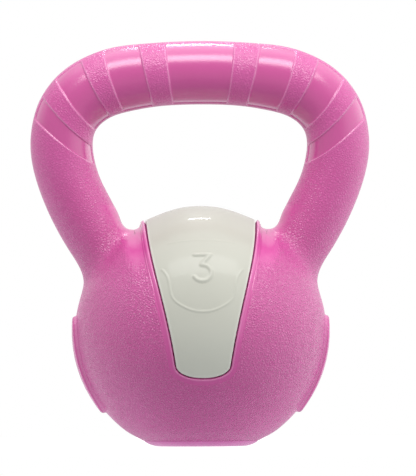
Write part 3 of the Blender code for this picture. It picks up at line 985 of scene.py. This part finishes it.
def leather_height(looks, cell):
    """Soft pebbles of about one cell, drawn out of line by noise: a moulded leather grain."""
    place = looks.place()
    bend = looks.node("ShaderNodeTexNoise", Vector=place, Scale=0.35 / cell, Detail=2.0)
    centred = looks.vector_math("SUBTRACT", bend.outputs["Color"], (0.5, 0.5, 0.5))
    reach = 1.6 * cell
    moved = looks.vector_math("ADD", place, looks.vector_math("MULTIPLY", centred, (reach, reach, reach)))
    cells = looks.node(
        "ShaderNodeTexVoronoi",
        {"feature": "DISTANCE_TO_EDGE"},
        Vector=moved,
        Scale=1.0 / cell,
    )
    return looks.ramp(cells.outputs["Distance"], 0.0, 0.35)


def shell_plastic():
    """Pink moulded plastic: leather-grained, but smooth and glossier where the mould is polished."""
    looks = Looks("pink_moulded_plastic")
    grain = looks.attribute("grain")
    edge = looks.attribute("edge")
    matt = looks.attribute("matt")
    tone = looks.ramp(looks.noise(45.0, 3.0), 0.3, 0.7)
    polished = looks.mix(tone, (0.535, 0.040, 0.252, 1.0), (0.555, 0.046, 0.270, 1.0))
    # The grained pink is paler than the polished: a painted sheen, the veil of the grain's rough
    # highlights.
    grained = looks.mix(tone, (0.600, 0.074, 0.312, 1.0), (0.620, 0.082, 0.330, 1.0))
    body = looks.mix(matt, polished, grained)

    # Pebbles are painted paler on top and darker between, a painted shade in the grooves, and lie deeper
    # on the ball than above it.
    pebbles = leather_height(looks, 0.0013)
    paler_share = looks.math("MULTIPLY", looks.math("MULTIPLY", grain, pebbles), 0.06)
    body = looks.mix(paler_share, body, (0.80, 0.34, 0.58, 1.0))
    between = looks.math("MULTIPLY", grain, looks.ramp(pebbles, 0.0, 0.8, 0.20, 0.0))
    body = looks.mix(between, body, (0.30, 0.02, 0.13, 1.0))
    # Paler where the edge look is set: painted highlights on the lip and the pads' feet, and wear with a
    # painted highlight along the recesses.
    body = looks.mix(looks.math("MULTIPLY", edge, 0.30), body, (0.85, 0.38, 0.62, 1.0))
    depth = looks.ramp(looks.along("Z"), 0.085, 0.125, 1.6, 0.9)
    height = looks.math("MULTIPLY", pebbles, looks.math("MULTIPLY", grain, depth))
    fine = looks.noise(2600.0)
    height = looks.math("ADD", height, looks.math("MULTIPLY", fine, 0.25))

    polished_gloss = looks.ramp(looks.noise(160.0, 4.0), 0.35, 0.65, 0.20, 0.26)
    grained_gloss = looks.ramp(fine, 0.3, 0.7, 0.25, 0.33)
    gloss = looks.mix(grain, polished_gloss, grained_gloss, "FLOAT")
    coat = looks.ramp(matt, 0.0, 1.0, 1.0, 0.0)
    looks.set(Base_Color=body, Roughness=gloss, Specular_IOR_Level=0.85)
    looks.set(Coat_Weight=coat, Coat_Roughness=0.25)
    looks.set(Normal=looks.bump(height, 0.00015))
    return looks.material


def panel_plastic():
    """Light grey plastic with a satin face: darker towards its top, a painted shade, and paler at its
    edges, a painted highlight.
    """
    looks = Looks("light_grey_panel_plastic")
    tone = looks.ramp(looks.noise(30.0), 0.25, 0.75)
    body = looks.mix(tone, (0.640, 0.634, 0.550, 1.0), (0.655, 0.651, 0.568, 1.0))
    # Darker towards the top: painted shade.
    body = looks.mix(looks.ramp(looks.along("Z"), 0.020, 0.105, 0.0, 0.25), body, BLACK)
    # Paler at the edges: a painted highlight.
    paler_share = looks.math("MULTIPLY", looks.attribute("edge"), 0.40)
    body = looks.mix(paler_share, body, (0.84, 0.84, 0.78, 1.0))
    gloss = looks.ramp(looks.noise(60.0, 3.0), 0.3, 0.7, 0.40, 0.46)
    looks.set(Base_Color=body, Roughness=gloss, Specular_IOR_Level=0.25)
    looks.set(Coat_Weight=0.25, Coat_Roughness=0.05)
    return looks.material


def cap_plastic():
    """Pink plastic like the shell's, without its leather grain, and finely scuffed."""
    looks = Looks("pink_cap_plastic")
    tone = looks.ramp(looks.noise(120.0, 4.0), 0.3, 0.7)
    body = looks.mix(tone, (0.62, 0.125, 0.385, 1.0), (0.65, 0.137, 0.41, 1.0))
    scuff = looks.ramp(looks.noise(700.0, 4.0), 0.55, 0.75, 0.0, 0.25)
    body = looks.mix(scuff, body, (0.70, 0.24, 0.47, 1.0))
    gloss = looks.ramp(looks.noise(500.0, 3.0), 0.3, 0.7, 0.28, 0.40)
    looks.set(Base_Color=body, Roughness=gloss, Specular_IOR_Level=0.85)
    looks.set(Normal=looks.bump(looks.noise(1500.0), 0.00003))
    return looks.material


def cement():
    """Cured cement with dark iron sand in it."""
    looks = Looks("cured_cement")
    sand = looks.ramp(looks.noise(1400.0, 3.0), 0.45, 0.6)
    body = looks.mix(sand, (0.30, 0.29, 0.27, 1.0), (0.16, 0.15, 0.145, 1.0))
    looks.set(Base_Color=body, Roughness=looks.ramp(sand, 0.0, 1.0, 0.85, 0.95))
    looks.set(Normal=looks.bump(looks.noise(700.0, 5.0), 0.0002))
    return looks.material


def studio_floor():
    """A pale floor that glows behind the object like the backdrop, so that it shows no edge.

    The glow is weaker in front and far behind it, and darkened under the back of the object as a painted
    contact shadow.
    """
    looks = Looks("pale_studio_floor")
    tone = looks.ramp(looks.noise(6.0), 0.3, 0.7)
    body = looks.mix(tone, (0.25, 0.25, 0.25, 1.0), (0.27, 0.27, 0.27, 1.0))
    looks.set(Base_Color=body, Roughness=looks.ramp(looks.noise(90.0, 3.0), 0.3, 0.7, 0.7, 0.8))
    depth = looks.along("Y")
    behind = looks.ramp(depth, -0.09, -0.01)
    glow = looks.mix(behind, (0.04, 0.08, 0.10, 1.0), (0.84, 0.90, 0.95, 1.0))
    centre = looks.node("ShaderNodeVectorMath", {"operation": "LENGTH"}, Vector=looks.place())
    # A painted contact shadow: the glow is darkened near the object, towards its back.
    near = looks.ramp(centre.outputs["Value"], 0.085, 0.17, 0.5, 0.0)
    shadow = looks.math("MULTIPLY", looks.ramp(depth, -0.03, 0.03), near)
    glow = looks.mix(shadow, glow, BLACK)
    glow = looks.mix(looks.ramp(depth, 0.15, 0.30, 0.0, 0.8), glow, BLACK)
    seen = looks.node("ShaderNodeLightPath").outputs["Is Camera Ray"]
    glow = looks.mix(seen, glow, (0.95, 0.95, 0.95, 1.0))
    looks.set(Emission_Color=glow, Emission_Strength=1.0)
    return looks.material


# ---------------------------------------------------------------- studio


def add_floor(radius=450.0, sides=96):
    turns = 2.0 * np.pi * np.arange(sides) / sides
    points = np.stack([np.cos(turns), np.sin(turns), np.zeros(sides)], axis=1) * radius * MM
    mesh = bpy.data.meshes.new("studio_floor")
    mesh.from_pydata(points.tolist(), [], [list(range(sides))])
    floor = bpy.data.objects.new("studio_floor", mesh)
    bpy.context.scene.collection.objects.link(floor)
    mesh.materials.append(studio_floor())


def add_softbox(name, azimuth, elevation, distance, width, height, power):
    """A rectangular light aimed at the object: azimuth 0 is in front, 90 at the right."""
    light = bpy.data.lights.new(name, "AREA")
    light.shape = "RECTANGLE"
    light.size = width
    light.size_y = height
    light.energy = power
    turn = math.radians(azimuth)
    lift = math.radians(elevation)
    target = Vector((0.0, 0.0, HEIGHT * MM / 2.0))
    away = Vector((
        math.sin(turn) * math.cos(lift),
        -math.cos(turn) * math.cos(lift),
        math.sin(lift),
    ))
    softbox = bpy.data.objects.new(name, light)
    softbox.location = target + away * distance
    softbox.rotation_mode = "QUATERNION"
    softbox.rotation_quaternion = away.to_track_quat("Z", "Y")
    softbox.visible_camera = False
    bpy.context.scene.collection.objects.link(softbox)


def add_world():
    """White to the camera. The object sees a pale room, brightest behind, at the right and above."""
    world = bpy.data.worlds.new("studio")
    world.use_nodes = True
    tree = world.node_tree
    direction = tree.nodes.new("ShaderNodeTexCoord")
    split = tree.nodes.new("ShaderNodeSeparateXYZ")
    tree.links.new(direction.outputs["Generated"], split.inputs[0])

    def wall(axis, low, high, to_low, to_high):
        """Strength that goes from to_low to to_high as the direction leans along an axis."""
        made = tree.nodes.new("ShaderNodeMapRange")
        made.interpolation_type = "SMOOTHSTEP"
        tree.links.new(split.outputs[axis], made.inputs["Value"])
        set_range(made, low, high, to_low, to_high)
        return made.outputs["Result"]

    def add(first, second):
        made = tree.nodes.new("ShaderNodeMath")
        made.operation = "ADD"
        tree.links.new(first, made.inputs[0])
        tree.links.new(second, made.inputs[1])
        return made.outputs[0]

    behind = wall("Y", -0.35, 0.35, 0.68, 1.0)
    right = wall("X", 0.2, 1.0, 0.0, 0.70)
    above = wall("Z", 0.7, 0.95, 0.0, 0.95)
    room = tree.nodes["Background"]
    room.inputs["Color"].default_value = (0.98, 0.99, 1.0, 1.0)
    tree.links.new(add(behind, add(right, above)), room.inputs["Strength"])
    backdrop = tree.nodes.new("ShaderNodeBackground")
    backdrop.inputs["Color"].default_value = (1.0, 1.0, 1.0, 1.0)
    path = tree.nodes.new("ShaderNodeLightPath")
    mix = tree.nodes.new("ShaderNodeMixShader")
    tree.links.new(path.outputs["Is Camera Ray"], mix.inputs[0])
    tree.links.new(room.outputs[0], mix.inputs[1])
    tree.links.new(backdrop.outputs[0], mix.inputs[2])
    tree.links.new(mix.outputs[0], tree.nodes["World Output"].inputs["Surface"])
    bpy.context.scene.world = world


def add_lights():
    add_softbox(
        "key_front_top",
        azimuth=4.0,
        elevation=61.0,
        distance=0.62,
        width=0.66,
        height=0.22,
        power=1.95,
    )
    add_softbox(
        "strip_behind",
        azimuth=180.0,
        elevation=53.0,
        distance=1.1,
        width=0.20,
        height=0.05,
        power=0.8,
    )


def add_camera():
    """A level long-lens camera, a little to the left of straight ahead and hardly rolled."""
    frame_height = 0.2409
    distance = 10.0
    yaw = math.radians(-1.2)
    roll = math.radians(-0.27)
    aim = Vector((0.0039, 0.0, 0.1053))
    camera_data = bpy.data.cameras.new("camera")
    camera_data.sensor_width = 36.0
    camera_data.lens = camera_data.sensor_width / 2.0 * distance / (frame_height / 2.0)
    camera_data.clip_start = 1.0
    camera_data.clip_end = 40.0
    camera = bpy.data.objects.new("camera", camera_data)
    bpy.context.scene.collection.objects.link(camera)
    back = Vector((math.sin(yaw), -math.cos(yaw), 0.0))
    camera.location = aim + back * distance
    camera.rotation_mode = "QUATERNION"
    turned = Quaternion((0.0, 0.0, 1.0), roll)
    camera.rotation_quaternion = back.to_track_quat("Z", "Y") @ turned
    bpy.context.scene.camera = camera


# ---------------------------------------------------------------- assembly


def dress(piece, material, node):
    """Give a piece its material, and let it stand for a CAD node on the only body."""
    piece.data.materials.clear()
    piece.data.materials.append(material)
    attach(piece, "root")
    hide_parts(node)


def main():
    bpy.context.scene.view_settings.view_transform = "Standard"
    add_camera()
    dress(make_body_shell(), shell_plastic(), "body_shell")
    grey = panel_plastic()
    dress(make_panel("front_panel_look", 1.0, True), grey, "front_weight_panel")
    dress(make_panel("rear_panel_look", -1.0, False), grey, "rear_weight_panel")
    dress(make_base_cap(), cap_plastic(), "base_cap")
    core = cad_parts["ballast_core"]
    core.data.materials.clear()
    core.data.materials.append(cement())
    add_floor()
    add_world()
    add_lights()


main()
